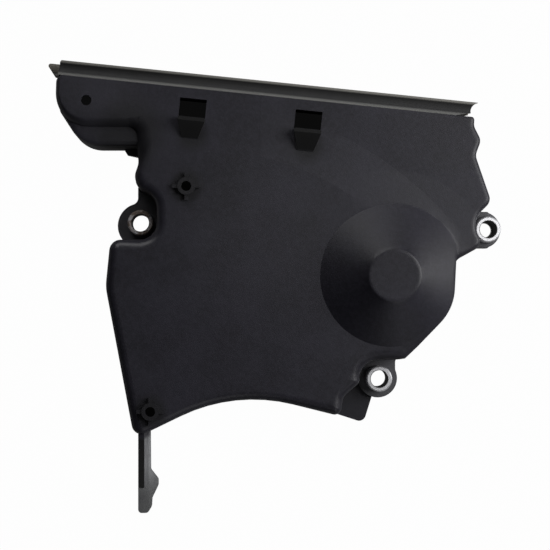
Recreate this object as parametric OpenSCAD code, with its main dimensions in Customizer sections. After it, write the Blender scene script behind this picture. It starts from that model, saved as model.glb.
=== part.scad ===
// Moulded timing cover with pressed-in bolt sleeves and a rubber top seal.
// The cover lies on its rim: z = 0 is the mounting plane and +Z points out of the front face.
// The origin is the axis of the left bolt sleeve on the mounting plane.

/* [Body] */
// Height of the front face above the mounting plane
cover_depth = 26; // [22:0.5:32]
// Wall thickness of the moulding
wall = 2.5; // [1.8:0.1:3]
// Rounding of the front edges
edge_round = 4; // [2:0.1:4.2]
// Rounding of the front edge round the left ear's pocket
pocket_round = 4.4; // [3:0.1:4.6]
// Rounding of the front edge under the top seal
top_edge_round = 1.2; // [0.6:0.1:2]
// Left side of the upper left block, measured from the left bolt
block_left = 35.7; // [32:0.1:40]
// Height of the top edge's left end above the left bolt
top_left_height = 61.9; // [58:0.2:66]
// Height of the top edge's right end above the left bolt
top_right_height = 43.8; // [42:0.2:46]
// Right end of the top edge, measured from the left bolt
top_right_reach = 141.7; // [138:0.1:144]
// Height of the block's lower edge above the left bolt
block_bottom = 39.5; // [36:0.1:41]
// Lower rounding of the upper left block
block_round = 14.8; // [8:0.2:16]
// Rounding that leads from the front face down to the lobe beside the block
block_slope = 7; // [4:0.1:8]
// Drop of the lobe below the front face
lobe_drop = 4; // [3:0.2:16]
// Lowest corner of the body below the left bolt
foot_drop = 91.8; // [88:0.2:98]
// Radius of the concave lower edge that clears the crank pulley
pulley_clearance_r = 70; // [60:1:78]
// Height of the corner that this arc rounds off above the lowest corner
pulley_rise = 20.6; // [19:0.1:23]
// Depth of the recessed band under the top seal
band_depth = 0.6; // [0.4:0.1:1.4]
// Depth of the sloping shoulder at the upper right
shoulder_depth = 1.1; // [0.4:0.1:1.4]
// Width of the sloping shoulder
shoulder_run = 20; // [8:0.5:24]

/* [Bolt ears] */
// Right bolt, measured from the left bolt
right_bolt_x = 149.4; // [147:0.2:152]
// Right bolt, height against the left bolt
right_bolt_y = -2.8; // [-4:0.2:-1.6]
// Lower bolt, measured from the left bolt
lower_bolt_x = 102.6; // [100:0.2:105]
// Lower bolt, height against the left bolt
lower_bolt_y = -67; // [-69:0.2:-65]
// Radius of the left ear
left_ear_r = 9.8; // [8:0.1:10]
// Radius of the right ear
right_ear_r = 7.9; // [7.4:0.1:9]
// Shift of the right ear's rounding towards the body
right_ear_shift = 1.5; // [0:0.1:1.8]
// Radius of the lower ear
lower_ear_r = 8.4; // [7.8:0.1:9]
// Thickness of the ears
ear_thickness = 5; // [3:0.1:8]
// Thickness of the tab beside the lower ear
tab_thickness = 2.6; // [2:0.1:4.5]
// Reach of the tab from the lower bolt
tab_reach = 19.5; // [18:0.1:21]
// Room between a bolt and the wall of its pocket
pocket_room = 8.6; // [8:0.1:9.2]

/* [Sleeves] */
// Outside diameter of a bolt sleeve
sleeve_od = 11; // [9:0.1:12]
// Bore of a bolt sleeve
sleeve_bore = 7.4; // [6.2:0.1:7.6]
// Length of a bolt sleeve
sleeve_length = 12; // [9:0.1:16]
// Radial room between a sleeve and its ear
sleeve_clearance = 0.05; // [0.02:0.01:0.2]
// Chamfer at the sleeve's ends
sleeve_chamfer = 0.5; // [0.2:0.1:0.7]

/* [Cone] */
// Cone axis, measured from the left bolt
cone_x = 106; // [104:0.2:108]
// Cone axis, height against the left bolt
cone_y = -23; // [-25:0.2:-21]
// Radius of the cone at the front face
cone_base_r = 29.8; // [28.4:0.1:31]
// Radius of the flat top of the cone
cone_top_r = 10.8; // [8:0.1:14]
// Height of the cone above the front face
cone_height = 14; // [10:0.2:18]
// Height of the steeper cap on the cone
cone_cap = 1.2; // [0.4:0.1:2]
// Distance from the cone axis to the body's right side
cone_side = 26.6; // [26:0.1:28]
// Distance from the cone axis to the body's slanted side
chamfer_side = 28.8; // [27:0.1:29.4]
// Rounding between these two sides
side_round = 22; // [14:0.5:27]
// Rounding where the cone runs into that side
cone_edge_round = 7.5; // [6:0.1:9]

/* [Bosses and holes] */
// Upper screw boss, measured from the left bolt
upper_boss_x = 20; // [18:0.2:24]
// Upper screw boss, height above the left bolt
upper_boss_y = 14.6; // [12:0.2:20]
// Lower screw boss, measured from the left bolt
lower_boss_x = 4.9; // [3.6:0.1:8]
// Lower screw boss, height against the left bolt
lower_boss_y = -80; // [-82:0.2:-76]
// Outside diameter of a screw boss
boss_od = 7.4; // [6.6:0.1:9]
// Pilot hole of a screw boss
boss_bore = 4.2; // [3:0.1:5]
// Height of a screw boss above the front face
boss_height = 2.6; // [2:0.1:6]
// Reach of a boss rib from the boss axis
boss_rib_reach = 5.8; // [5:0.1:6.6]
// Thickness of a boss rib
boss_rib_thickness = 1.5; // [1:0.1:2]
// Diameter of the hole in the upper left block
block_hole = 4.4; // [3:0.1:6]
// Hole in the block, measured from the left bolt
block_hole_x = -22.1; // [-25:0.1:-18]
// Hole in the block, height above the left bolt
block_hole_y = 50.9; // [49:0.1:53]

/* [Hook clips] */
// Width of a hook clip
clip_width = 11.3; // [8:0.1:13]
// First clip, distance along the top edge
clip_start = 58.8; // [50:0.2:64]
// Distance from one clip to the next
clip_pitch = 48.9; // [40:0.2:54]
// Distance from the top edge to the clip window
clip_inset = 4.4; // [4:0.1:6]
// Height of the window behind a clip
clip_window = 8.4; // [6:0.1:9]
// Reach of a hook in front of the face
hook_reach = 5; // [3:0.1:7]
// Thickness of a hook's lip
hook_lip = 1.5; // [1:0.1:2.4]
// Length of a hook's sloping underside
hook_drop = 8.6; // [6:0.1:10]

/* [Leg] */
// Length of the stiff part of the leg
leg_length = 23; // [18:0.5:28]
// Width of the leg's front edge
leg_width = 2; // [1.6:0.1:3]
// Height of the leg's front edge above the mounting plane
leg_depth = 20; // [14:0.2:21]
// Length of the leg's spade-shaped tip
tip_length = 12.6; // [9:0.2:16]
// Sideways bulge of the tip
tip_bulge = 7.4; // [6:0.1:9]

/* [Top seal] */
// Height of the seal above the top edge
seal_height = 6.3; // [5:0.1:8]
// Width of the seal from front to back
seal_width = 10; // [8:0.2:13]
// Set-back of the seal behind the front face
seal_setback = 2.2; // [1.6:0.1:4]
// Thickness of the seal's lips
seal_lip = 1.2; // [0.8:0.1:1.6]
// Curve of the hollow front of the seal
seal_curve_r = 3.6; // [3.3:0.1:5]
// Overhang of the rear lip past the left corner
seal_overhang = 4.4; // [2:0.1:6]

/* [Hidden] */
$fn = 64;
plastic = [0.18, 0.175, 0.2];
rubber = [0.25, 0.25, 0.25];
steel = [0.7, 0.7, 0.68];
eps = 0.5;
// Angle between the points of a wide arc, of a tight arc, and the radius that parts them.
wide_step = 5;
tight_step = 11;
wide_radius = 12;

bolts = [[0, 0], [right_bolt_x, right_bolt_y], [lower_bolt_x, lower_bolt_y]];
cone = [cone_x, cone_y];
top_left = [0.7 - block_left, top_left_height];
top_right = [top_right_reach, top_right_height];
top_angle = atan2(top_right[1] - top_left[1], top_right[0] - top_left[0]);
top_length = norm(top_right - top_left);

// Corners of the body outline, counter-clockwise seen from the front: [x, y, corner radius].
// The pockets round the ears, the arc beside the cone and the top edge follow the named sizes.
chamfer = 46;
slant = [cos(chamfer), sin(chamfer)];
cone_corner = cone + [cone_side, (cone_side * sin(chamfer) - chamfer_side) / cos(chamfer)];
lower_pocket_top = lower_bolt_y + pocket_room + 0.3;
chamfer_foot = cone_corner - slant * (cone_corner[1] - lower_pocket_top) / sin(chamfer);
side_top = [cone_x + cone_side + 1, right_bolt_y - 13.6];
body_corners = [
    [top_left[0], top_left[1], 3],
    [-block_left, block_bottom, block_round],
    [-1.9, block_bottom - 0.3, 3.5],
    [-0.3, 24.4, 8],
    [-2, 19.5, 6],
    [-0.9, 14.4, 5],
    [pocket_room - 1.2, pocket_room + 1.6, pocket_room - 0.8],
    [pocket_room - 1.2, 1 - pocket_room, pocket_room - 1.4],
    [-12.2, 1 - pocket_room, 4.8],
    [-14.2, -27.6, 20],
    [-2.1, -foot_drop, 4.2],
    [40.5, pulley_rise - foot_drop, pulley_clearance_r],
    [lower_bolt_x - 17.5, lower_bolt_y - 15.3, 3],
    [lower_bolt_x - 16.4, lower_bolt_y - 7.1, 5],
    [lower_bolt_x - pocket_room - 1, lower_bolt_y - 1.2, 2.4],
    [lower_bolt_x - pocket_room - 1, lower_pocket_top, pocket_room],
    [chamfer_foot[0], chamfer_foot[1], 5],
    [cone_corner[0], cone_corner[1], side_round],
    [side_top[0], side_top[1], 4],
    [right_bolt_x - 4.1, right_bolt_y - 7.2, 4.2],
    [right_bolt_x - pocket_room - 0.3, right_bolt_y + 3, pocket_room],
    [right_bolt_x - 0.6, right_bolt_y + 11.3, 4.2],
    [top_right[0] + 0.4, top_right[1] - 15.9, 5],
    [top_right[0] + 2.8, top_right[1] - 9.5, 4.2],
    [top_right[0] - 0.2, top_right[1] - 3.6, 4],
    [top_right[0], top_right[1], 1.6]
];

// Corners of the lower lobe beside the upper left block.
lobe_depth = cover_depth - lobe_drop;
lobe_round = 2;
lobe_bottom = block_bottom - 7.4;
lobe_corners = [
    [-block_left, block_bottom + 10.4, 4],
    [11.5 - block_left, lobe_bottom, 14],
    [8, lobe_bottom, 1],
    [8, block_bottom + 13, 1],
    [6 - block_left, block_bottom + 13, 1]
];

function left_normal(a, b) = let (d = (b - a) / norm(b - a)) [-d[1], d[0]];
function flat(p) = [p[0], p[1]];
function cross2(a, b) = a[0] * b[1] - a[1] * b[0];

// One corner of an outline moved inwards by its own distance on each side and rounded into an arc.
// Each point is [x, y, share], where share runs from 0 on the edge before to 1 on the edge after.
function round_corner(before, corner, after, inset_before, inset_after) =
    let (
        c = flat(corner),
        n1 = left_normal(flat(before), c),
        n2 = left_normal(c, flat(after)),
        d1 = [n1[1], -n1[0]],
        d2 = [n2[1], -n2[0]],
        turn = atan2(cross2(d1, d2), d1 * d2),
        b1 = n1 * c + inset_before,
        b2 = n2 * c + inset_after,
        tip = [b1 * n2[1] - b2 * n1[1], n1[0] * b2 - n2[0] * b1] / cross2(n1, n2),
        inset = max(inset_before, inset_after),
        r = turn > 0 ? max(corner[2] - inset, 0.3) : corner[2] + inset,
        side = sign(turn),
        start = tip - d1 * r * tan(abs(turn) / 2),
        centre = start + side * n1 * r,
        steps = max(2, ceil(abs(turn) / (corner[2] > wide_radius ? wide_step : tight_step)))
    )
    [for (k = [0:steps])
        let (
            a = turn * k / steps,
            n = [n1[0] * cos(a) - n1[1] * sin(a), n1[0] * sin(a) + n1[1] * cos(a)]
        )
        concat(centre - side * r * n, k / steps)];

// Whole outline, with the inset of each edge that leaves a corner.
function outline(corners, insets) =
    let (n = len(corners))
    [for (i = [0:n - 1])
        each round_corner(corners[(i + n - 1) % n], corners[i], corners[(i + 1) % n],
            insets[(i + n - 1) % n], insets[i])];

// Heights of the outline's points, blended round each corner from one edge to the next.
function heights(corners, z) =
    let (n = len(corners))
    [for (i = [0:n - 1])
        for (p = round_corner(corners[(i + n - 1) % n], corners[i], corners[(i + 1) % n], 0, 0))
            z[(i + n - 1) % n] * (1 - p[2]) + z[i] * p[2]];

function inside(p, a, b, c) =
    cross2(b - a, p - a) > 1e-9 && cross2(c - b, p - b) > 1e-9 && cross2(a - c, p - c) > 1e-9;
function is_ear(p, ring, k) =
    let (m = len(ring), a = p[ring[(k + m - 1) % m]], b = p[ring[k]], c = p[ring[(k + 1) % m]])
    cross2(b - a, c - b) > 1e-9 && len([for (q = ring) if (inside(p[q], a, b, c)) q]) == 0;
function first_ear(p, ring, k = 0) =
    k >= len(ring) - 1 || is_ear(p, ring, k) ? k : first_ear(p, ring, k + 1);
// Triangles that fill a closed outline, cut off one convex corner at a time.
function fill(p, ring) =
    len(ring) == 3 ? [ring] :
    let (m = len(ring), e = first_ear(p, ring))
    concat([[ring[(e + m - 1) % m], ring[e], ring[(e + 1) % m]]],
        fill(p, [for (k = [0:m - 1]) if (k != e) ring[k]]));

// Solid between z = floor and the front face, with its front edges rounded edge by edge.
module rounded_block(corners, insets, rounds, floor, top, steps) {
    n = len(corners);
    turns = [for (s = [0:steps]) 90 * s / steps];
    loops = concat(
        [[for (p = outline(corners, insets)) [p[0], p[1], floor]]],
        [for (a = turns)
            let (
                pts = outline(corners, [for (i = [0:n - 1]) insets[i] + rounds[i] * (1 - cos(a))]),
                z = heights(corners, [for (i = [0:n - 1]) top - rounds[i] * (1 - sin(a))])
            )
            [for (k = [0:len(pts) - 1]) [pts[k][0], pts[k][1], z[k]]]]);
    m = len(loops[0]);
    levels = len(loops);
    flat_top = [for (p = loops[levels - 1]) flat(p)];
    flat_floor = [for (p = loops[0]) flat(p)];
    sides = [for (s = [0:levels - 2]) for (k = [0:m - 1])
        let (a = s * m + k, b = s * m + (k + 1) % m)
        each [[a, a + m, b + m], [a, b + m, b]]];
    top_fill = [for (t = fill(flat_top, [for (k = [0:m - 1]) k]))
        [for (k = [2:-1:0]) t[k] + (levels - 1) * m]];
    polyhedron(
        points = [for (l = loops) each l],
        faces = concat(sides, top_fill, fill(flat_floor, [for (k = [0:m - 1]) k])));
}

function same(corners, value) = [for (c = corners) value];
// Rounding of each body edge: edges 1 and 2 lie over the lobe, 4 to 7 lead round the left ear's pocket,
// and the last one lies under the seal.
body_rounds = [for (i = [0:len(body_corners) - 1])
    i == len(body_corners) - 1 ? top_edge_round :
    i == 1 || i == 2 ? block_slope :
    i >= 4 && i <= 7 ? pocket_round :
    edge_round];
inner_rounds = [for (r = body_rounds) max(r - wall, 0.4)];

module body_outline(inset = 0) {
    polygon([for (p = outline(body_corners, same(body_corners, inset))) flat(p)]);
}

// Cone on the front face. Its flank runs on below the face, so that it cuts the rounded front edge,
// and a rounding leads it into the side of the body up to the height of the blend.
cap_foot_r = cone_top_r + 0.8 * cone_cap;
flank_height = cone_height - cone_cap;
cone_run = (cone_base_r - cap_foot_r) / flank_height;
cone_slope = atan2(1, cone_run);
blend_inset = cone_edge_round * (1 - sin(cone_slope));
blend_height = cover_depth + (cone_base_r - cone_side + blend_inset) / cone_run;
blend_room = 0.3;
blend_top = blend_height + cone_edge_round * (1 - cos(cone_slope)) + blend_room;
side_lean = (side_top[0] - cone_corner[0]) / (side_top[1] - cone_corner[1]);
cone_sides = [
    cone + [-2 * cone_base_r, 2 * cone_base_r],
    cone + [-2 * cone_base_r, -2 * cone_base_r],
    cone_corner - 3 * cone_base_r * slant,
    cone_corner,
    [cone_corner[0] + 3 * cone_base_r * side_lean, cone_corner[1] + 3 * cone_base_r]
];
module cone_form() {
    trim = [for (i = [0:4]) concat(cone_sides[i], i == 3 ? side_round : cone_edge_round + 1)];
    translate([cone[0], cone[1], cover_depth + flank_height - eps]) cylinder(h = eps, r = cap_foot_r);
    translate([cone[0], cone[1], cover_depth + flank_height])
        cylinder(h = cone_cap, r1 = cap_foot_r, r2 = cone_top_r);
    intersection() {
        translate([cone[0], cone[1], cover_depth - edge_round])
            cylinder(h = flank_height + edge_round,
                r1 = cone_base_r + edge_round * cone_run, r2 = cap_foot_r);
        union() {
            rounded_block(trim, same(trim, 0), same(trim, cone_edge_round), 0, blend_top, 6);
            translate([cone[0], cone[1], blend_height]) cylinder(h = cone_height, r = cone_base_r);
        }
    }
}

// Hollow of the cone, one wall inside it.
module cone_hollow() {
    shrink = wall * tan(cone_slope / 2);
    floor = cover_depth - wall - 0.01;
    intersection() {
        translate([cone[0], cone[1], floor])
            cylinder(h = flank_height, r1 = cone_base_r - shrink, r2 = cap_foot_r - shrink);
        translate([0, 0, floor - eps]) linear_extrude(cone_height + 2 * eps) body_outline(wall);
    }
}

// Flat ears round the sleeves. Each one runs under its pocket and one step into the wall.
module ears() {
    fillet = 3;
    into_wall = 2;
    linear_extrude(ear_thickness) {
        offset(r = -fillet) offset(delta = fillet) {
            translate([-0.3, -1]) circle(left_ear_r);
            translate([-1.3, -pocket_room - 1]) square([pocket_room + into_wall, 2 * pocket_room + 8]);
        }
        offset(r = -fillet) offset(delta = fillet) {
            translate(bolts[1] - [right_ear_shift, 0]) circle(right_ear_r);
            translate(bolts[1] - [pocket_room + into_wall, right_ear_r])
                square([pocket_room + into_wall, 2 * right_ear_r]);
        }
        offset(r = -fillet) offset(delta = fillet) {
            translate(bolts[2]) circle(lower_ear_r);
            translate(bolts[2] - [pocket_room + into_wall, 1])
                square([2 * pocket_room + 1, pocket_room + 1 + into_wall]);
            translate(chamfer_foot + [-0.5, 0.5])
                polygon([[-pocket_room, 0], [0, 0], pocket_room * slant, [-pocket_room, into_wall]]);
        }
    }
    linear_extrude(tab_thickness) tab_outline();
    linear_extrude(ear_thickness) ledge_outline();
}

module tab_outline() {
    corner = 3;
    offset(r = corner) offset(delta = -corner)
        translate(bolts[2])
            polygon([[-tab_reach, -10], [1 - tab_reach, -15.4], [-5.9, -tab_reach],
                [-2.2, -7.6], [-2.2, 2], [-14, 2]]);
}

module ledge_outline() {
    polygon([[-10, lobe_bottom + 2], [-7.6, lobe_bottom + 0.4], [-6, lobe_bottom - 2.2],
        [-1.5, lobe_bottom - 3.2], [3, lobe_bottom - 3.2], [3, lobe_bottom + 2]]);
}

// Thin leg under the lower left corner, with a spade-shaped tip at the mounting plane.
leg_top = -foot_drop + 6;
leg_end = -foot_drop - leg_length + 2;
tip_end = leg_end - tip_length;
leg_lean = 1.2;
module leg() {
    tip_edge = 1.6;
    tip_top = 5.4;
    tip_side = [[-leg_lean, 0], [tip_bulge + 1, 0], [tip_bulge + 1, tip_edge], [leg_width + 1.4, tip_top]];
    stiff_part = concat(tip_side, [[leg_width, leg_depth], [-leg_lean / 4, leg_depth]]);
    whole_part = concat(tip_side, [[-leg_lean, tip_top + 1]]);
    intersection() {
        translate([0, leg_top, 0]) rotate([90, 0, 0]) {
            linear_extrude(leg_top - leg_end) polygon(stiff_part);
            linear_extrude(leg_top - tip_end) polygon(whole_part);
        }
        linear_extrude(leg_depth) leg_outline();
    }
}

module leg_outline() {
    soft = 1.6;
    offset(r = soft) offset(delta = -soft)
        offset(r = -soft) offset(delta = soft)
            polygon([[-leg_lean, leg_top], [-leg_lean, tip_end], [leg_width + 0.9, tip_end],
                [leg_width + 2.6, tip_end + 2.6], [leg_width + 2.8, tip_end + 6.2],
                [tip_bulge + 0.1, leg_end - 0.8], [tip_bulge + 0.1, leg_end + 1.8],
                [leg_width + 2.2, leg_end + 6], [leg_width + 2, leg_top]]);
}

module at_bosses() {
    translate([upper_boss_x, upper_boss_y]) children();
    translate([lower_boss_x, lower_boss_y]) children();
}

// Low ring with four short ribs that run into it by small fillets.
module boss_form() {
    fillet = 1;
    rib_step = 0.5;
    translate([0, 0, cover_depth - eps]) {
        cylinder(h = boss_height + eps, d = boss_od);
        linear_extrude(boss_height + eps - rib_step)
            offset(r = -fillet) offset(delta = fillet) {
                circle(d = boss_od - fillet);
                for (a = [0, 90])
                    rotate(a) square([2 * boss_rib_reach, boss_rib_thickness], center = true);
            }
    }
}

// Places its children in the frame of the top edge: x along it, y away from the body.
module on_top_edge() {
    translate(top_left) rotate(top_angle) children();
}

module at_clips() {
    on_top_edge() for (k = [0, 1])
        translate([clip_start + k * clip_pitch, -clip_inset - clip_window, 0]) children();
}

// Wedge-shaped hook under the window, narrower towards its foot.
module hook() {
    intersection() {
        translate([-clip_width / 2, 0, 0]) rotate([90, 0, 90]) linear_extrude(clip_width)
            polygon([[-hook_drop, cover_depth - wall / 2], [-hook_drop, cover_depth],
                [-hook_lip, cover_depth + hook_reach], [0, cover_depth + hook_reach],
                [0, cover_depth - wall / 2]]);
        linear_extrude(cover_depth + 2 * hook_reach)
            polygon([[-clip_width / 2, eps], [-clip_width / 2, -hook_lip], [-clip_width * 0.3, -hook_drop],
                [clip_width * 0.3, -hook_drop], [clip_width / 2, -hook_lip], [clip_width / 2, eps]]);
    }
}

// Band under the seal and the sloping shoulder at the upper right, cut out of the front face.
band_left = [0.1, 44.1];
band_angle = -3.7;
shoulder_centre = [21.6, -93.2];
shoulder_r = 144;
shoulder_reach = 55;
module face_recess() {
    high = cover_depth + eps;
    translate([band_left[0], band_left[1], cover_depth - band_depth])
        rotate(band_angle) translate([-block_left, 0, 0])
            cube([top_length + block_left, block_left, high]);
    translate([band_left[0] - 2 * block_left, block_bottom - 3, cover_depth - band_depth])
        cube([2 * block_left, 2 * block_left, high]);
    difference() {
        translate([cone_x - shoulder_reach, cone_y, cover_depth - shoulder_depth])
            cube([2 * shoulder_reach, top_left_height - cone_y, shoulder_depth + eps]);
        translate([shoulder_centre[0], shoulder_centre[1], cover_depth - shoulder_depth])
            cylinder(h = shoulder_depth, r1 = shoulder_r, r2 = shoulder_r - shoulder_run, $fn = 200);
        translate([shoulder_centre[0], shoulder_centre[1], cover_depth])
            cylinder(h = 2 * eps, r = shoulder_r - shoulder_run, $fn = 200);
    }
}

module cover() color(plastic) {
    difference() {
        union() {
            difference() {
                rounded_block(body_corners, same(body_corners, 0), body_rounds, 0, cover_depth, 5);
                face_recess();
            }
            rounded_block(lobe_corners, same(lobe_corners, 0), same(lobe_corners, lobe_round),
                0, lobe_depth, 2);
            ears();
            leg();
            cone_form();
            at_bosses() boss_form();
            at_clips() hook();
        }
        rounded_block(body_corners, same(body_corners, wall), inner_rounds, -eps, cover_depth - wall, 3);
        rounded_block(lobe_corners, same(lobe_corners, wall), same(lobe_corners, lobe_round / 2),
            -eps, lobe_depth - wall, 1);
        cone_hollow();
        for (b = bolts) translate([b[0], b[1], -eps])
            cylinder(h = ear_thickness + 2 * eps, d = sleeve_od + 2 * sleeve_clearance);
        at_bosses() translate([0, 0, cover_depth - 2 * wall])
            cylinder(h = boss_height + 3 * wall, d = boss_bore);
        translate([block_hole_x, block_hole_y, cover_depth - 2 * wall])
            cylinder(h = 3 * wall, d = block_hole);
        at_clips() translate([-clip_width / 2, 0, cover_depth - 2 * wall])
            cube([clip_width, clip_window, 3 * wall]);
    }
}

module sleeve(bolt) color(steel) {
    translate(bolt) difference() {
        union() {
            cylinder(h = sleeve_chamfer, d1 = sleeve_od - 2 * sleeve_chamfer, d2 = sleeve_od);
            translate([0, 0, sleeve_chamfer])
                cylinder(h = sleeve_length - 2 * sleeve_chamfer, d = sleeve_od);
            translate([0, 0, sleeve_length - sleeve_chamfer])
                cylinder(h = sleeve_chamfer, d1 = sleeve_od, d2 = sleeve_od - 2 * sleeve_chamfer);
        }
        translate([0, 0, -eps]) cylinder(h = sleeve_length + 2 * eps, d = sleeve_bore);
    }
}

// Section of the seal: x is the height above the top edge, y is the depth from the front.
seal_foot = 1.4;
seal_gap = 0.02;
module seal_lip_section(lip_height) {
    intersection() {
        translate([seal_height * 0.55, seal_curve_r - seal_foot]) difference() {
            circle(seal_curve_r + seal_lip);
            circle(seal_curve_r);
        }
        translate([0, -seal_width / 2]) square([lip_height, seal_width / 2 + 0.6]);
    }
}

module seal_section() {
    seal_lip_section(seal_height);
    translate([0, -seal_width]) mirror([0, 1]) seal_lip_section(seal_height - rear_drop);
    translate([0, -seal_width]) square([seal_foot, seal_width]);
}

// Outline of one lip along the top edge, with rounded upper corners.
module lip_outline(left_foot, left_top, lip_height) {
    corner = 1;
    deep = 5;
    slide = deep * (left_foot - left_top) / lip_height;
    offset(r = corner) offset(delta = -corner)
        polygon([[left_foot + slide, -deep], [top_length, -deep], [top_length + lip_end, lip_height],
            [left_top, lip_height]]);
}

// The rear lip hangs over the left corner, the front lip ends there, and the right end is cut hollow
// and lifts off the body.
rear_drop = 0.8;
lip_end = 1.4;
module top_seal() color(rubber) {
    front = cover_depth - seal_setback;
    lift_angle = 15;
    lift_run = 8.5;
    hollow_r = 3.7;
    cut = [30, 60, 2 * cover_depth];
    on_top_edge() difference() {
        translate([-2 * seal_overhang, seal_gap, front]) rotate([90, 0, 90])
            linear_extrude(top_length + 4 * seal_overhang) seal_section();
        translate([0, 0, front - seal_width / 2]) linear_extrude(cover_depth) difference() {
            square(4 * top_length, center = true);
            lip_outline(0.8, 1.2, seal_height + seal_gap);
        }
        linear_extrude(front - seal_width / 2) difference() {
            square(4 * top_length, center = true);
            lip_outline(-1.1, -1.1 - seal_overhang, seal_height + seal_gap - rear_drop);
        }
        translate([top_length + hollow_r - 2, 0.43 * seal_height, 0])
            cylinder(h = 2 * cover_depth, r = hollow_r);
        translate([top_length - lift_run, 0, 0]) rotate(lift_angle) translate([0, -cut[1], 0]) cube(cut);
    }
}

cover();
sleeve(bolts[0]);  // sleeve_left
sleeve(bolts[1]);  // sleeve_right
sleeve(bolts[2]);  // sleeve_lower
top_seal();
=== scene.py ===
# %% [markdown]
# A moulded timing cover, dressed for its picture.
# The cover, its three bolt sleeves and its rubber seal come from a packed CAD model, which stays as it is.
# This lesson gives each of them a finish made of shader nodes, puts them on a pale floor, lights them
# softly from the upper right, and looks straight down on them, as the photograph does.

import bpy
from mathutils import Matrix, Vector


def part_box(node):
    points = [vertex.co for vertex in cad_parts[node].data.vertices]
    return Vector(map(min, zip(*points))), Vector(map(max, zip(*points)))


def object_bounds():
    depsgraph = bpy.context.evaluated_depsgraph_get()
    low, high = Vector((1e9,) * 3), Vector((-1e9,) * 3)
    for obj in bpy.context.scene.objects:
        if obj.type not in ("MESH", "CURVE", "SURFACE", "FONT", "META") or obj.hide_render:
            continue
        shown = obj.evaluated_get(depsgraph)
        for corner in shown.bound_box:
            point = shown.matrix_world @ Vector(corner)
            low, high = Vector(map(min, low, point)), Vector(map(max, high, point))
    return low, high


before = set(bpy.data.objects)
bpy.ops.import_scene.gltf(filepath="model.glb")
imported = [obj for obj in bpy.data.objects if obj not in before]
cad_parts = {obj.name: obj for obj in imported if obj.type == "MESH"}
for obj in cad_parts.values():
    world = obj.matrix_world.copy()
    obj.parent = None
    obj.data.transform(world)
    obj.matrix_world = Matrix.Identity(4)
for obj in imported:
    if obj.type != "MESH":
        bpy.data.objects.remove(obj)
cad_box = [list(corner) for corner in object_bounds()]
print("nodes:", ", ".join(sorted(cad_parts)))
print("CAD box in mm:", [[round(1000 * v, 1) for v in corner] for corner in cad_box])

# %% [markdown]
# Lengths in Blender are metres, and this part is measured in millimetres, so one small helper converts.
# Colours are easier to choose as the 0 to 255 numbers of a picture, while shaders want linear light.
# A second helper turns one into the other, so that every colour below can be read as it looks.

# %% Units and colours
import math

import bmesh
import bpy
from mathutils import Vector


def mm(*values):
    lengths = tuple(value / 1000 for value in values)
    return lengths[0] if len(lengths) == 1 else lengths


def picture_colour(*levels):
    shares = [level / 255 for level in levels]
    linear = [s / 12.92 if s <= 0.04045 else ((s + 0.055) / 1.055) ** 2.4 for s in shares]
    return (*linear, 1.0)


print("a mid grey of 128 is", round(picture_colour(128, 128, 128)[0], 3), "in linear light")

# %% [markdown]
# A node tree is a drawing of a formula. It is quicker to write the formula itself, so a small class
# wraps a socket and gives it the usual operators: each one adds a Math node and returns its output.
# The reflected forms make expressions such as 1 - mask work too. Every other node comes from one
# method, which takes the node's type, its settings, and the values or links of its sockets.

# %% A socket with arithmetic, and the tree that makes nodes
class Wire:
    """One socket of a node tree. Arithmetic on it adds Math nodes."""

    def __init__(self, tree, socket):
        self.tree = tree
        self.socket = socket

    def calculate(self, operation, first, second):
        return self.tree.node("ShaderNodeMath", {"operation": operation}, {0: first, 1: second})

    def __add__(self, other):
        return self.calculate("ADD", self, other)

    def __radd__(self, other):
        return self.calculate("ADD", other, self)

    def __sub__(self, other):
        return self.calculate("SUBTRACT", self, other)

    def __rsub__(self, other):
        return self.calculate("SUBTRACT", other, self)

    def __mul__(self, other):
        return self.calculate("MULTIPLY", self, other)

    def __rmul__(self, other):
        return self.calculate("MULTIPLY", other, self)


class Tree:
    """A node tree under construction."""

    def __init__(self, tree):
        self.tree = tree

    def node(self, kind, settings=None, sockets=None, output=0):
        made = self.tree.nodes.new(kind)
        for name, value in (settings or {}).items():
            setattr(made, name, value)
        for key, value in (sockets or {}).items():
            if isinstance(value, Wire):
                self.tree.links.new(value.socket, made.inputs[key])
            else:
                made.inputs[key].default_value = value
        return Wire(self, made.outputs[output]) if len(made.outputs) else made

    def place(self):
        """Position on the part in metres, in the frame of the CAD model."""
        return self.node("ShaderNodeTexCoord", output="Object")

    def stretch(self, place, factors):
        return self.node("ShaderNodeVectorMath", {"operation": "MULTIPLY"}, {0: place, 1: factors})

    def distance(self, place, point):
        settings = {"operation": "DISTANCE"}
        return self.node("ShaderNodeVectorMath", settings, {0: place, 1: point}, output="Value")

    def noise(self, place, size, detail=2.0, roughness=0.5):
        """Cloudy pattern from 0 to 1, with features of about the given size in metres."""
        sockets = {"Vector": place, "Scale": 1 / size, "Detail": detail, "Roughness": roughness}
        return self.node("ShaderNodeTexNoise", None, sockets)

    def step(self, value, low, high):
        """Soft step that goes from 0 at low to 1 at high."""
        sockets = {"Value": value, "From Min": low, "From Max": high}
        return self.node("ShaderNodeMapRange", {"interpolation_type": "SMOOTHSTEP"}, sockets)

    def blend(self, factor, first, second):
        """Mix of two colours."""
        settings = {"data_type": "RGBA", "blend_type": "MIX"}
        return self.node("ShaderNodeMix", settings, {0: factor, 6: first, 7: second}, output=2)

    def bump(self, height, depth, strength, normal=None):
        sockets = {"Height": height, "Distance": depth, "Strength": strength}
        if normal:
            sockets["Normal"] = normal
        return self.node("ShaderNodeBump", None, sockets)


print("operators ready:", ", ".join(name for name in vars(Wire) if name.startswith("__r")))

# %% [markdown]
# Each finish is a Principled surface. A value that is the same all over is set on the shader's own
# socket, and only what varies over the surface is linked. One function makes the material, sets the
# constant sockets, and hands back the tree and the shader for the parts that vary.

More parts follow.
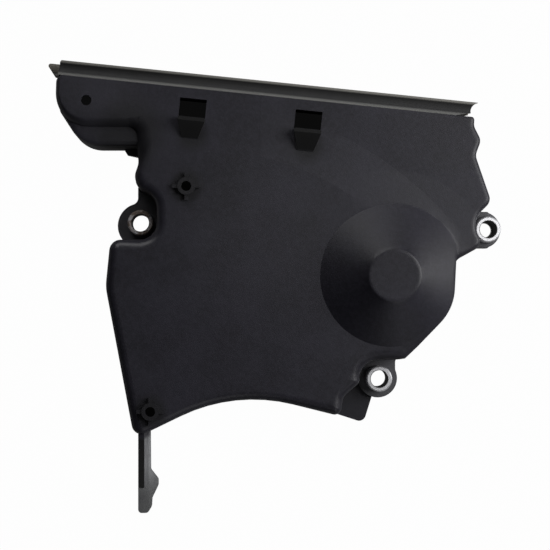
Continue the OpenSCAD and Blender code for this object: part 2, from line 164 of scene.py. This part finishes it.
# %% An empty finish
def new_finish(name, **constants):
    material = bpy.data.materials.new(name)
    material.use_nodes = True
    tree = Tree(material.node_tree)
    shader = material.node_tree.nodes["Principled BSDF"]
    for socket, value in constants.items():
        shader.inputs[socket.replace("_", " ")].default_value = value
    return material, tree, shader


def connect(tree, shader, **wires):
    for socket, wire in wires.items():
        tree.tree.links.new(wire.socket, shader.inputs[socket.replace("_", " ")])


def dress(node, material):
    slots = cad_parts[node].data.materials
    slots.clear()
    slots.append(material)
    print(node, "wears", material.name)


# %% [markdown]
# The cover is black glass-filled plastic. Its mould was spark-eroded, which leaves a fine, even grain,
# and the filler shows as faint mottling and as clouds in the gloss. A little pale dust lies on it.
# Grain, mottling, clouds and dust are four noises of very different sizes: far smaller than the part's
# edges, about as wide as the wall is thick, about a thumb's width, and a few scattered grains.
#
# Handling leaves its own marks. Where the surface leans over, below the level of the face, an edge is
# burnished: a little paler and much glossier. The rim of the cone's end gets the same paler tone as a
# painted highlight. The right edge is cut short by the sunken shoulder, and there, as on the cone's flat
# end, the Bevel node looks at the faces round a point and gives the normal of a rounded edge. The leg
# below the lowest corner is painted pale grey, paler near its root and darker towards its tip as painted
# light, and its narrow front edge is painted dark as shade. The ears' faces, the middle of the face, the
# block, the left of the low lobe and the band beside the cone are painted paler as painted light. Painted
# shade darkens the low lobe, the bosses, the hooks and the tab, and below their bars the hooks are
# painted nearly black as shade.

# %% Moulded plastic
GRAIN_SIZE = mm(0.45)
GRAIN_DEPTH = mm(0.06)
PORE_SIZE = mm(1.8)
CLOUD_SIZE = mm(28)
DUST_SIZE = mm(1.1)
EDGE_RADIUS = mm(2.2)
RIGHT_EDGE = mm(132)
FACE_LEVEL = mm(26)
CONE_AXIS = (*mm(106, -23), 0)
CONE_END = mm(13)
CONE_RIM = mm(10.8)
CONE_REACH = mm(36)
LEG_TOP = mm(-92)
LEG_TIP = mm(-118)
LEG_FADE = mm(16)
LEG_FRONT = mm(20)
LEG_BLOTCH = mm(5)
EAR_TOP = mm(5)
TAB_TOP = EAR_TOP - mm(1.6)
BAND_REACH = mm(44)
BAND_RIGHT = mm(85, 112)
BAND_ABOVE = mm(-26, -12)
# Paler spots painted as light: the middle of the face, the block and the left of the low lobe.
LIT_SPOTS = [
    (mm(55, 0, 26), mm(12), mm(58)),
    (mm(-18, 52, 26), mm(8), mm(26)),
    (mm(-27, 39, 22), mm(4), mm(12)),
]
# Dark spots painted as shade in the low lobe and round the bosses and the hooks.
SHADE_SPOTS = [
    (mm(-4, 37, 22), mm(8), mm(20)),
    (mm(20, 14.6, 27), mm(4), mm(9)),
    (mm(4.9, -80, 27), mm(4), mm(9)),
    (mm(22.4, 36.0, 26), mm(3), mm(9)),
    (mm(70.8, 31.0, 26), mm(3), mm(9)),
]
HOOK_BAR = mm(45.8)
HOOK_FOOT = mm(30)
EDGE_SLANT = 0.1024
GRAIN_SHARE = 0.45
MOTTLE_SHARE = 0.28
DUST_SHARE = 0.06
LIT_SHARE = 0.05
SHADE_SHARE = 0.7
EDGE_SHARE = 0.05
EAR_SHARE = 0.45


def axis(tree, vector, name):
    return tree.node("ShaderNodeSeparateXYZ", None, {0: vector}, output=name)


def from_cone(tree, place):
    return tree.distance(tree.stretch(place, (1, 1, 0)), CONE_AXIS)


def softened_normal(tree, place):
    """The normal, with the short right edge and the cone's end rounded off."""
    plain = tree.node("ShaderNodeNewGeometry", output="Normal")
    rounded = tree.node("ShaderNodeBevel", {"samples": 8}, {"Radius": EDGE_RADIUS})
    right = tree.step(axis(tree, place, "X"), RIGHT_EDGE - mm(4), RIGHT_EDGE)
    end = tree.step(from_cone(tree, place), CONE_END + mm(1), CONE_END)
    sockets = {0: right + end, 4: plain, 5: rounded}
    return tree.node("ShaderNodeMix", {"data_type": "VECTOR"}, sockets, output=1)


def burnished_edge_and_rim_highlight(tree, place, normal):
    """Mask of the burnished rounded edges and of the rim of the cone's end, whose paler tone is a painted
    highlight, but not of the cone's flank.
    """
    leaning = tree.step(axis(tree, normal, "Z"), 0.995, 0.93)
    sunken = tree.step(axis(tree, place, "Z"), FACE_LEVEL + mm(0.1), FACE_LEVEL)
    away = from_cone(tree, place)
    beyond = tree.step(away, CONE_REACH - mm(1), CONE_REACH + mm(1))
    inside = tree.step(away, CONE_END, CONE_RIM)
    rim_highlight = tree.step(away, CONE_RIM - mm(1.6), CONE_RIM - mm(0.8)) * inside
    return leaning * (sunken * beyond + rim_highlight)


def leg_pale_and_shade(tree, place):
    """Masks of the leg's pale sides, of its tip, painted darker as shade, and of its front edge, painted
    dark as shade.
    """
    height = axis(tree, place, "Y")
    leg = tree.step(height, LEG_TOP + mm(1), LEG_TOP - mm(1))
    tip_shade = tree.step(height, LEG_TIP + LEG_FADE, LEG_TIP - mm(1))
    front = tree.step(axis(tree, place, "Z"), LEG_FRONT - mm(1.2), LEG_FRONT - mm(0.4))
    return leg * (1 - front), tip_shade, leg * front


def lit_ear(tree, place):
    """Mask of the ears' front faces, painted paler as painted light."""
    depth = axis(tree, place, "Z")
    above_tab = tree.step(depth, TAB_TOP, EAR_TOP - mm(0.6))
    return above_tab * tree.step(depth, EAR_TOP + mm(2), EAR_TOP)


def spots(tree, place, places):
    """Mask of soft round spots, each with a centre, an inner and an outer radius."""
    outside = 1
    for centre, inner, outer in places:
        outside = outside * (1 - tree.step(tree.distance(place, centre), outer, inner))
    return 1 - outside


def lit_band(tree, place):
    """Mask of the band beside the cone, towards the upper right, painted paler as painted light."""
    away = from_cone(tree, place)
    outer = tree.step(away, BAND_REACH + mm(1), BAND_REACH)
    inner = tree.step(away, CONE_REACH - mm(6), CONE_REACH - mm(4))
    right = tree.step(axis(tree, place, "X"), *BAND_RIGHT)
    above = tree.step(axis(tree, place, "Y"), *BAND_ABOVE)
    return outer * inner * right * above


def painted_shade_spots(tree, place):
    """Mask of the spots painted dark as shade: the low lobe, the bosses, the hooks and the tab."""
    tab = tree.step(axis(tree, place, "Z"), TAB_TOP, TAB_TOP - mm(0.6))
    return 1 - (1 - 0.5 * tab) * (1 - spots(tree, place, SHADE_SPOTS))


def hook_underside_shade(tree, place):
    """Mask of the two hooks below their bars, painted nearly black as shade."""
    slant = axis(tree, place, "Y") + EDGE_SLANT * axis(tree, place, "X")
    below_bar = tree.step(slant, HOOK_BAR, HOOK_BAR - mm(0.6))
    above_foot = tree.step(slant, HOOK_FOOT, HOOK_FOOT + mm(1))
    proud = tree.step(axis(tree, place, "Z"), FACE_LEVEL + mm(0.1), FACE_LEVEL + mm(0.4))
    return below_bar * above_foot * proud


def moulded_plastic():
    material, tree, shader = new_finish("moulded_black", Specular_IOR_Level=0.32)
    place = tree.place()
    normal = softened_normal(tree, place)
    painted_shade = painted_shade_spots(tree, place)
    # Edges are paler by wear; the rim of the cone's end is paler as a painted highlight.
    edge = burnished_edge_and_rim_highlight(tree, place, normal) * (1 - painted_shade)
    pale_leg, tip_shade, leg_edge_shade = leg_pale_and_shade(tree, place)
    cloud = tree.noise(place, CLOUD_SIZE, detail=4.0, roughness=0.6)
    grain = tree.noise(place, GRAIN_SIZE, detail=3.0, roughness=0.6)
    pores = tree.noise(place, PORE_SIZE, detail=2.0)
    dust = tree.step(tree.noise(place, DUST_SIZE, detail=1.0), 0.71, 0.80)
    hook_shade = hook_underside_shade(tree, place)
    lit_patches = spots(tree, place, LIT_SPOTS) + lit_band(tree, place)
    deep = picture_colour(22, 21, 27)
    worn = picture_colour(31, 30, 38)
    pale = picture_colour(92, 92, 94)
    black = tree.blend(tree.step(cloud, 0.3, 0.7), deep, worn)
    grained = tree.blend(tree.step(grain, 0.42, 0.72) * GRAIN_SHARE, black, picture_colour(40, 39, 48))
    mottled = tree.blend(tree.step(pores, 0.4, 0.64) * MOTTLE_SHARE, grained, picture_colour(41, 40, 48))
    dusty = tree.blend(dust * DUST_SHARE, mottled, pale)
    # Patches of the face are painted paler as painted light.
    lit_face = tree.blend(lit_patches * LIT_SHARE, dusty, pale)
    # Painted shade in the low lobe, round the bosses and hooks, and on the low tab.
    shaded = tree.blend(painted_shade * SHADE_SHARE, lit_face, picture_colour(8, 8, 9))
    # The undersides of the hooks are painted nearly black as shade.
    hook_shaded = tree.blend(hook_shade, shaded, picture_colour(5, 5, 6))
    # Edges paler by wear; the cone's rim and the ears' faces paler as painted light.
    wear_and_light = edge * EDGE_SHARE + lit_ear(tree, place) * EAR_SHARE
    paled_and_lit = tree.blend(wear_and_light, hook_shaded, pale)
    blotch = tree.step(tree.noise(place, LEG_BLOTCH, detail=3.0), 0.35, 0.65)
    # The leg is painted pale grey, paler near its root and darker towards its tip as painted light.
    leg_tones = tree.blend(tip_shade, picture_colour(142, 143, 145), picture_colour(80, 81, 81))
    leg_toned = tree.blend(pale_leg * (0.56 + 0.22 * blotch), paled_and_lit, leg_tones)
    # The leg's front edge is painted dark as shade.
    connect(
        tree, shader,
        Base_Color=tree.blend(leg_edge_shade, leg_toned, picture_colour(12, 12, 13)),
        Roughness=(
            0.42 + 0.08 * cloud + 0.06 * grain + 0.1 * painted_shade
            + 0.3 * (leg_edge_shade + hook_shade) - 0.16 * edge
        ),
        Normal=tree.bump(grain + 0.8 * pores, GRAIN_DEPTH, 0.6, normal),
    )
    return material


dress("cover", moulded_plastic())

# %% [markdown]
# The seal is extruded rubber. It is greyer than the plastic, duller, and drawn out along its length,
# so its streaks run along the top edge of the cover. The place is first turned into the frame of that
# edge: X along it, Y away from the body. The streaks are a noise squeezed across the edge and
# stretched along it. Y tells the parts of the hollow front: a pale foot and a thin pale rim, both painted
# highlights, and between them a hollow painted dark as shade. The lip at the back has gathered brownish
# dust.

# %% Extruded rubber
STREAK_WIDTH = mm(0.7)
STREAK_STRETCH = 60
STREAK_DEPTH = mm(0.08)
RUBBER_CLOUD = mm(9)
RUBBER_GRAIN = mm(0.3)
FOOT_EDGE = mm(1.7, 0.7)
RIM_EDGE = mm(5.1, 6.0)
HOLLOW_FADE = mm(1.5, 5.5)
BACK_FADE = mm(3.0, 5.5)
EDGE_LEFT = Vector(mm(-35.0, 61.9, 0))
EDGE_RIGHT = Vector(mm(141.7, 43.8, 0))


def edge_place(tree):
    """Position along the top edge, above it and out of the face."""
    edge = EDGE_RIGHT - EDGE_LEFT
    settings = {"operation": "SUBTRACT"}
    moved = tree.node("ShaderNodeVectorMath", settings, {0: tree.place(), 1: EDGE_LEFT})
    turn = {"Vector": moved, "Rotation": (0, 0, -math.atan2(edge.y, edge.x))}
    return tree.node("ShaderNodeMapping", None, turn)


def extruded_rubber():
    material, tree, shader = new_finish("seal_rubber", Specular_IOR_Level=0.35)
    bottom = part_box("top_seal")[0].z
    along = edge_place(tree)
    streaks = tree.noise(tree.stretch(along, (1 / STREAK_STRETCH, 1, 1)), STREAK_WIDTH, detail=3.0)
    cloud = tree.noise(along, RUBBER_CLOUD, detail=3.0)
    grain = tree.noise(along, RUBBER_GRAIN, detail=2.0)
    above = axis(tree, along, "Y")
    depth = axis(tree, along, "Z")
    foot_highlight = tree.step(above, *FOOT_EDGE)
    rim_highlight = tree.step(above, *RIM_EDGE)
    hollow_shade = tree.step(above, *HOLLOW_FADE)
    back = 1 - tree.step(depth, bottom + BACK_FADE[0], bottom + BACK_FADE[1])
    # Painted shade in the hollow, and painted highlights on the foot and the rim.
    hollow_shaded = tree.blend(hollow_shade, picture_colour(31, 31, 32), picture_colour(18, 18, 18))
    streaked = tree.blend(tree.step(streaks, 0.45, 0.8) * 0.35, hollow_shaded, picture_colour(42, 42, 41))
    foot_lit = tree.blend(foot_highlight * 0.8, streaked, picture_colour(104, 104, 102))
    paled_and_lit = tree.blend(rim_highlight * 0.8, foot_lit, picture_colour(168, 166, 160))
    dusty = tree.blend(back * (0.45 + 0.4 * cloud), paled_and_lit, picture_colour(112, 108, 100))
    connect(
        tree, shader,
        Base_Color=dusty,
        Roughness=0.62 + 0.2 * cloud,
        Normal=tree.bump(streaks + 0.3 * grain, STREAK_DEPTH, 0.4),
    )
    return material


dress("top_seal", extruded_rubber())

# %% [markdown]
# The sleeves are short steel tubes, cut off on a lathe. The tool leaves fine rings round the axis,
# so the bump depends on the distance from that axis. Zinc keeps two of them bright. The left one has
# tarnished to a dull brown, which is a second colour with less metal and more roughness. The bore is
# painted dark as shade, and the same distance tells where it begins.

# %% Turned steel
RING_PITCH = mm(0.5)
RING_DEPTH = mm(0.02)
STAIN_SIZE = mm(2.6)
BORE_RADIUS = mm(3.7)
TARNISH = {"sleeve_left": 0.8, "sleeve_right": 0.05, "sleeve_lower": 0.1}


def turned_steel(node, tarnish):
    material, tree, shader = new_finish(node + "_steel")
    low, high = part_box(node)
    place = tree.place()
    flat = tree.stretch(place, (1, 1, 0))
    radius = tree.distance(flat, ((low.x + high.x) / 2, (low.y + high.y) / 2, 0))
    rings = tree.node("ShaderNodeMath", {"operation": "SINE"}, {0: radius * (2 * math.pi / RING_PITCH)})
    stain = tree.noise(place, STAIN_SIZE, detail=2.0 + 3 * tarnish, roughness=0.4 + 0.3 * tarnish)
    rust = tree.step(stain, 0.75 - 0.6 * tarnish, 0.95 - 0.5 * tarnish)
    # The bore's wall is painted dark as shade.
    bore_shade = tree.step(radius, BORE_RADIUS + mm(0.35), BORE_RADIUS + mm(0.1))
    bright = tree.blend(stain, picture_colour(208, 208, 211), picture_colour(230, 230, 233))
    aged = tree.blend(rust, bright, picture_colour(112, 100, 92))
    connect(
        tree, shader,
        Base_Color=tree.blend(bore_shade, aged, picture_colour(30, 28, 27)),
        Metallic=(0.82 - 0.4 * rust) * (1 - bore_shade),
        Roughness=0.40 + 0.06 * stain + 0.25 * rust,
        Normal=tree.bump(0.1 * rings + tarnish * stain, RING_DEPTH, 0.3),
    )
    return material


for sleeve, tarnish in TARNISH.items():
    dress(sleeve, turned_steel(sleeve, tarnish))

# %% [markdown]
# CAD surfaces arrive as flat triangles, and the rounded edges of the cover would show their facets.
# Changing the mesh is out of the question, because the CAD model is the measure of everything else.
# A modifier only changes what is drawn: it welds the triangles, shades all faces smooth, and keeps an
# edge sharp where two faces meet at a wide angle. The front face also has a shallow slope beside the
# cone, whose crease is only a few degrees, so an edge that lies nearly level stays sharp at such a
# small angle too. Weighted normals then keep the flat faces flat.

# %% Smooth roundings by a modifier
SHARP_ANGLE = math.radians(32)
CREASE_ANGLES = (math.radians(1.5), math.radians(6))
NEARLY_LEVEL = 0.99
WELD_DISTANCE = mm(0.004)
FLAT_WEIGHT = 90


def compare(tree, operation, first, second):
    settings = {"data_type": "FLOAT", "operation": operation}
    return tree.node("FunctionNodeCompare", settings, {0: first, 1: second})


def both(tree, first, second):
    return tree.node("FunctionNodeBooleanMath", {"operation": "AND"}, {0: first, 1: second})


def sharp_edges(tree):
    """Edges that stay sharp: wide angles, and the shallow creases of the front face."""
    angle = tree.node("GeometryNodeInputMeshEdgeAngle")
    normal = tree.node("GeometryNodeInputNormal")
    upright = axis(tree, normal, "Z")
    wide = compare(tree, "GREATER_THAN", angle, SHARP_ANGLE)
    level = compare(tree, "GREATER_THAN", upright, NEARLY_LEVEL)
    more = compare(tree, "GREATER_THAN", angle, CREASE_ANGLES[0])
    less = compare(tree, "LESS_THAN", angle, CREASE_ANGLES[1])
    crease = both(tree, level, both(tree, more, less))
    return tree.node("FunctionNodeBooleanMath", {"operation": "OR"}, {0: wide, 1: crease})


def smoothing_group():
    group = bpy.data.node_groups.new("smooth_roundings", "GeometryNodeTree")
    for way in ("INPUT", "OUTPUT"):
        group.interface.new_socket("Geometry", in_out=way, socket_type="NodeSocketGeometry")
    tree = Tree(group)
    source = tree.node("NodeGroupInput")
    weld = {"Geometry": source, "Distance": WELD_DISTANCE}
    welded = tree.node("GeometryNodeMergeByDistance", None, weld)
    stored = {"Geometry": welded, "Name": "custom_normal"}
    plain = tree.node("GeometryNodeRemoveAttribute", None, stored)
    smooth = tree.node("GeometryNodeSetShadeSmooth", {"domain": "FACE"}, {"Geometry": plain})
    creased = tree.node(
        "GeometryNodeSetShadeSmooth",
        {"domain": "EDGE"},
        {"Geometry": smooth, "Selection": sharp_edges(tree), "Shade Smooth": False},
    )
    tree.node("NodeGroupOutput", None, {"Geometry": creased})
    return group


smoothing = smoothing_group()
for name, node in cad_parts.items():
    node.modifiers.new("smooth_roundings", "NODES").node_group = smoothing
    normals = node.modifiers.new("flat_faces_stay_flat", "WEIGHTED_NORMAL")
    normals.keep_sharp = True
    normals.weight = FLAT_WEIGHT
    print(name, "has", len(node.data.polygons), "triangles and", len(node.modifiers), "modifiers")

# %% [markdown]
# The part lies on a table that the picture shows as white. What the camera sees of it is mostly a
# glow of strength 1, which is white, and the rest is a real grey table that keeps the shadow and
# throws little light back, so the part's lower edges stay dark. Under the cover the glow would shine
# through the holes, so it fades out where the floor is closed in, which the Ambient Occlusion node
# measures, and is nearly put out in a disc below each hole, most of all below the deep bosses. Where the
# glow fades out, the table's own colour is painted nearly black as shade. The three bores show white
# floor.

# %% Floor
FLOOR_RADIUS = 3.0
FLOOR_GAP = mm(0.1)
GLOW_SHARE = 0.985
LEAK = 0.0035
DEEP_LEAK = 0.0010
GLOSSY_SHARE = 0.05
CLOSED_REACH = mm(160)
CLOSED_SHARES = (0.1, 0.25)
# Discs below the holes, where the glow is put out and the table is painted dark as shade.
DARK_DISCS = [
    ((20, 14.6), 9, DEEP_LEAK),
    ((4.9, -80), 4.5, DEEP_LEAK),
    ((-22.1, 50.9), 8, LEAK),
    ((22.6, 38.5), 17, LEAK),
    ((71.3, 33.5), 17, LEAK),
]
BORE_DISCS = {"sleeve_left": 4.0, "sleeve_right": 3.1, "sleeve_lower": 4.0}


def disc(tree, centre, radius):
    """Mask of a disc on the floor, all in millimetres."""
    away = tree.distance(tree.place(), (*mm(*centre), 0))
    return tree.step(away, mm(radius + 0.1), mm(radius - 0.1))


def floor_finish():
    material = bpy.data.materials.new("white_table")
    material.use_nodes = True
    material.node_tree.nodes.clear()
    tree = Tree(material.node_tree)
    seen = (
        tree.node("ShaderNodeLightPath", output="Is Camera Ray")
        + GLOSSY_SHARE * tree.node("ShaderNodeLightPath", output="Is Glossy Ray")
    )
    reach = {"Distance": CLOSED_REACH}
    room = tree.node("ShaderNodeAmbientOcclusion", {"samples": 16}, reach, output="AO")
    open_floor = tree.step(room, *CLOSED_SHARES)
    for centre, radius, leak in DARK_DISCS:
        hidden = disc(tree, centre, radius)
        open_floor = open_floor * (1 - hidden) + leak * hidden
    for sleeve, radius in BORE_DISCS.items():
        low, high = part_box(sleeve)
        centre = [1000 * (low[i] + high[i]) / 2 for i in (0, 1)]
        open_floor = open_floor + disc(tree, centre, radius)
    glow = seen * GLOW_SHARE * open_floor
    # Where the floor is closed in, the table is painted nearly black as shade.
    paper_and_painted_shade = tree.blend(open_floor, picture_colour(8, 8, 9), picture_colour(120, 120, 121))
    table = tree.node("ShaderNodeBsdfDiffuse", None, {"Color": paper_and_painted_shade})
    white = tree.node("ShaderNodeEmission", None, {"Color": (1, 1, 1, 1), "Strength": 1.0})
    surface = tree.node("ShaderNodeMixShader", None, {0: glow, 1: table, 2: white})
    tree.node("ShaderNodeOutputMaterial", None, {"Surface": surface})
    return material


def make_floor():
    mesh = bpy.data.meshes.new("floor")
    table = bmesh.new()
    bmesh.ops.create_circle(table, cap_ends=True, radius=FLOOR_RADIUS, segments=96)
    table.to_mesh(mesh)
    table.free()
    mesh.materials.append(floor_finish())
    floor = bpy.data.objects.new("floor", mesh)
    floor.location.z = cad_box[0][2] - FLOOR_GAP
    bpy.context.scene.collection.objects.link(floor)
    return floor


floor = make_floor()
print("floor of radius", FLOOR_RADIUS, "m just under the rim")

# %% [markdown]
# The photograph is lit by one broad source beyond the upper right corner: the cone's right side is
# bright, its left side falls into the dark, and the face fades towards the lower left. The window lamp
# stands for it. The other lamps are weak. A side lamp and a lantern near the table catch the edges
# that face right and up, a back lamp lights the upper left, a front lamp keeps the lower edges from
# going black, and a large lamp overhead evens out the face. Each lamp has a place, a size and a power.
# The sky is dim, and white to the camera.

# %% Lamps and sky
SKY_STRENGTH = 0.01
LAMPS = {
    "window": ((0.42, 0.08, 0.34), 0.45, 2.2),
    "side": ((0.60, 0.00, 0.16), 0.30, 0.65),
    "lantern": ((0.12, 0.42, 0.16), 0.30, 0.25),
    "front": ((0.25, -0.50, 0.30), 0.40, 0.36),
    "back": ((-0.14, 0.45, 0.28), 0.40, 1.1),
    "over": ((0.02, 0.10, 0.75), 0.80, 0.15),
}


def add_lamp(name, place, target, size, watts):
    light = bpy.data.lights.new(name, "AREA")
    light.shape = "DISK"
    light.size = size
    light.energy = watts
    lamp = bpy.data.objects.new(name, light)
    lamp.location = place
    lamp.rotation_euler = (Vector(target) - Vector(place)).to_track_quat("-Z", "Y").to_euler()
    bpy.context.scene.collection.objects.link(lamp)
    print(name, "lamp of", watts, "W")


def make_sky():
    world = bpy.data.worlds.new("studio")
    world.use_nodes = True
    world.node_tree.nodes.clear()
    tree = Tree(world.node_tree)
    camera_ray = tree.node("ShaderNodeLightPath", output="Is Camera Ray")
    strength = SKY_STRENGTH + (1 - SKY_STRENGTH) * camera_ray
    sky = tree.node("ShaderNodeBackground", None, {"Color": (1, 1, 1, 1), "Strength": strength})
    tree.node("ShaderNodeOutputWorld", None, {"Surface": sky})
    bpy.context.scene.world = world


middle = [(low + high) / 2 for low, high in zip(*cad_box)]
for name, (place, size, watts) in LAMPS.items():
    add_lamp(name, place, middle, size, watts)
make_sky()

# %% [markdown]
# The photograph looks straight down: the ears on the far right show a little of their left inner wall,
# which puts the point under the lens left of the middle and below it. So the camera hangs over that
# point without any tilt, and the lens shift moves the picture to the photograph's framing.

# %% Camera
PICTURE_SIZE = 550
FOOT_PIXEL = (215, 300)
MM_PER_PIXEL = 0.42
LENS_DISTANCE = mm(640)
FOOT = mm(32.06, -33.13)

lens = bpy.data.cameras.new("camera")
lens.sensor_width = 36
lens.lens = lens.sensor_width * LENS_DISTANCE / mm(PICTURE_SIZE * MM_PER_PIXEL)
lens.shift_x = 0.5 - FOOT_PIXEL[0] / PICTURE_SIZE
lens.shift_y = FOOT_PIXEL[1] / PICTURE_SIZE - 0.5
lens.clip_start = 0.01
camera = bpy.data.objects.new("camera", lens)
camera.location = (*FOOT, FACE_LEVEL + LENS_DISTANCE)
bpy.context.scene.collection.objects.link(camera)
bpy.context.scene.camera = camera
bpy.context.scene.view_settings.view_transform = "Standard"
print("lens of", round(lens.lens, 1), "mm,", round(1000 * camera.location.z), "mm above the table")

# %% [markdown]
